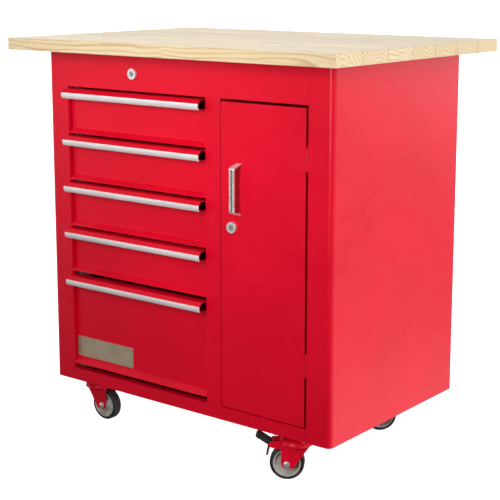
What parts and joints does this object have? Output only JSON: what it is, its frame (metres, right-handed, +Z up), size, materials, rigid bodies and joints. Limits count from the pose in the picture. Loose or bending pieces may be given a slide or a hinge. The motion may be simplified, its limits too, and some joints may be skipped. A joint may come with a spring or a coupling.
{
  "type": "rolling tool cabinet",
  "caption": "Rolling steel tool cabinet with drawers, a side cupboard and a wooden worktop on swivel casters.",
  "frame": {"origin": "on the floor under the middle of the worktop", "axes": "+Z up, +X to the right seen from the front, the drawers and the door face -Y"},
  "size_m": [0.91, 0.64, 0.92],
  "materials": {
    "red_paint": "glossy powder coat with a fine orange peel",
    "zinc_steel": "zinc plated, satin",
    "pine": "clear lacquered, edge-glued pine boards",
    "pull_aluminium": "satin anodised",
    "badge_metal": "brushed, warm champagne tint",
    "bright_chrome": "bright plated",
    "lock_core": "satin, grey",
    "tyre_rubber": "matt black rubber",
    "hub_plastic": "moulded, warm grey",
    "pedal_rubber": "matt black dipped coating"
  },
  "bodies": {
    "cabinet": {"worktop": "pine", "left_side_panel": "red_paint", "right_side_panel": "red_paint", "back_panel": "red_paint", "base_pan": "red_paint", "top_rail": "red_paint", "centre_partition": "red_paint", "slide_posts": "zinc_steel", "cabinet_rails": "zinc_steel", "shelf": "red_paint", "frame_hinges": "red_paint", "drawer_lock_housing": "bright_chrome", "cabinet_fasteners": "zinc_steel", "swivel_plates": "red_paint"},
    "drawer_1": {"drawer_1_box": "red_paint", "drawer_1_front": "red_paint", "drawer_1_trim": "pull_aluminium", "drawer_1_runners": "zinc_steel"},
    "drawer_2": {"drawer_2_box": "red_paint", "drawer_2_front": "red_paint", "drawer_2_trim": "pull_aluminium", "drawer_2_runners": "zinc_steel"},
    "drawer_3": {"drawer_3_box": "red_paint", "drawer_3_front": "red_paint", "drawer_3_trim": "pull_aluminium", "drawer_3_runners": "zinc_steel"},
    "drawer_4": {"drawer_4_box": "red_paint", "drawer_4_front": "red_paint", "drawer_4_trim": "pull_aluminium", "drawer_4_runners": "zinc_steel"},
    "drawer_5": {"drawer_5_box": "red_paint", "drawer_5_front": "red_paint", "drawer_5_trim": "pull_aluminium", "drawer_5_runners": "zinc_steel", "badge_plate": "badge_metal"},
    "door": {"door_panel": "red_paint", "door_handle": "bright_chrome", "door_hinges": "red_paint", "door_lock_housing": "bright_chrome"},
    "door_lock": {"door_lock_plug": "lock_core"},
    "drawer_lock": {"drawer_lock_plug": "lock_core"},
    "lock_bar": {"lock_bar": "zinc_steel"},
    "front_left_swivel": {"front_left_fork": "red_paint", "front_left_axle": "zinc_steel"},
    "front_left_wheel": {"front_left_tyre": "tyre_rubber", "front_left_hub": "hub_plastic"},
    "front_right_swivel": {"front_right_fork": "red_paint", "front_right_axle": "zinc_steel"},
    "front_right_wheel": {"front_right_tyre": "tyre_rubber", "front_right_hub": "hub_plastic"},
    "front_right_brake": {"front_right_pedal": "pedal_rubber"},
    "rear_left_swivel": {"rear_left_fork": "red_paint", "rear_left_axle": "zinc_steel"},
    "rear_left_wheel": {"rear_left_tyre": "tyre_rubber", "rear_left_hub": "hub_plastic"},
    "rear_right_swivel": {"rear_right_fork": "red_paint", "rear_right_axle": "zinc_steel"},
    "rear_right_wheel": {"rear_right_tyre": "tyre_rubber", "rear_right_hub": "hub_plastic"},
    "rear_right_brake": {"rear_right_pedal": "pedal_rubber"}
  },
  "joints": [
    {"name": "drawer_1_slide", "type": "slide", "parent": "cabinet", "child": "drawer_1", "axis": [0, -1, 0], "range_m": [0, 0.3]},
    {"name": "drawer_2_slide", "type": "slide", "parent": "cabinet", "child": "drawer_2", "axis": [0, -1, 0], "range_m": [0, 0.3]},
    {"name": "drawer_3_slide", "type": "slide", "parent": "cabinet", "child": "drawer_3", "axis": [0, -1, 0], "range_m": [0, 0.3]},
    {"name": "drawer_4_slide", "type": "slide", "parent": "cabinet", "child": "drawer_4", "axis": [0, -1, 0], "range_m": [0, 0.3]},
    {"name": "drawer_5_slide", "type": "slide", "parent": "cabinet", "child": "drawer_5", "axis": [0, -1, 0], "range_m": [0, 0.3]},
    {"name": "door_hinge", "type": "hinge", "parent": "cabinet", "child": "door", "pos_m": [0.337, -0.2433, 0.472], "axis": [0, 0, 1], "range_deg": [0, 110]},
    {"name": "door_lock_turn", "type": "hinge", "parent": "door", "child": "door_lock", "pos_m": [0.1457, -0.245, 0.54], "axis": [0, 1, 0], "range_deg": [0, 90]},
    {"name": "drawer_lock_turn", "type": "hinge", "parent": "cabinet", "child": "drawer_lock", "pos_m": [-0.134, -0.245, 0.848], "axis": [0, -1, 0], "range_deg": [0, 90]},
    {"name": "lock_bar_drop", "type": "slide", "parent": "cabinet", "child": "lock_bar", "axis": [0, 0, -1], "range_m": [0, 0.008]},
    {"name": "front_left_swivel_turn", "type": "hinge", "parent": "cabinet", "child": "front_left_swivel", "pos_m": [-0.322, -0.177, 0.088], "axis": [0, 0, 1], "continuous": true},
    {"name": "front_left_wheel_spin", "type": "hinge", "parent": "front_left_swivel", "child": "front_left_wheel", "pos_m": [-0.302, -0.177, 0.0375], "axis": [0, 1, 0], "continuous": true},
    {"name": "front_right_swivel_turn", "type": "hinge", "parent": "cabinet", "child": "front_right_swivel", "pos_m": [0.28, -0.195, 0.088], "axis": [0, 0, 1], "continuous": true},
    {"name": "front_right_wheel_spin", "type": "hinge", "parent": "front_right_swivel", "child": "front_right_wheel", "pos_m": [0.26304, -0.2056, 0.0375], "axis": [0.5299, -0.848, 0], "continuous": true},
    {"name": "front_right_brake_press", "type": "hinge", "parent": "front_right_swivel", "child": "front_right_brake", "pos_m": [0.2376, -0.2215, 0.079], "axis": [0.5299, -0.848, 0], "range_deg": [0, 10]},
    {"name": "rear_left_swivel_turn", "type": "hinge", "parent": "cabinet", "child": "rear_left_swivel", "pos_m": [-0.322, 0.187, 0.088], "axis": [0, 0, 1], "continuous": true},
    {"name": "rear_left_wheel_spin", "type": "hinge", "parent": "rear_left_swivel", "child": "rear_left_wheel", "pos_m": [-0.302, 0.187, 0.0375], "axis": [0, 1, 0], "continuous": true},
    {"name": "rear_right_swivel_turn", "type": "hinge", "parent": "cabinet", "child": "rear_right_swivel", "pos_m": [0.273, 0.183, 0.088], "axis": [0, 0, 1], "continuous": true},
    {"name": "rear_right_wheel_spin", "type": "hinge", "parent": "rear_right_swivel", "child": "rear_right_wheel", "pos_m": [0.25911, 0.16861, 0.0375], "axis": [0.7193, -0.6947, 0], "continuous": true},
    {"name": "rear_right_brake_press", "type": "hinge", "parent": "rear_right_swivel", "child": "rear_right_brake", "pos_m": [0.23827, 0.14703, 0.079], "axis": [0.7193, -0.6947, 0], "range_deg": [0, 10]}
  ],
  "couplings": [
    {"joint": "drawer_lock_turn", "follows": "lock_bar_drop", "rad_per_m": 196.34}
  ]
}
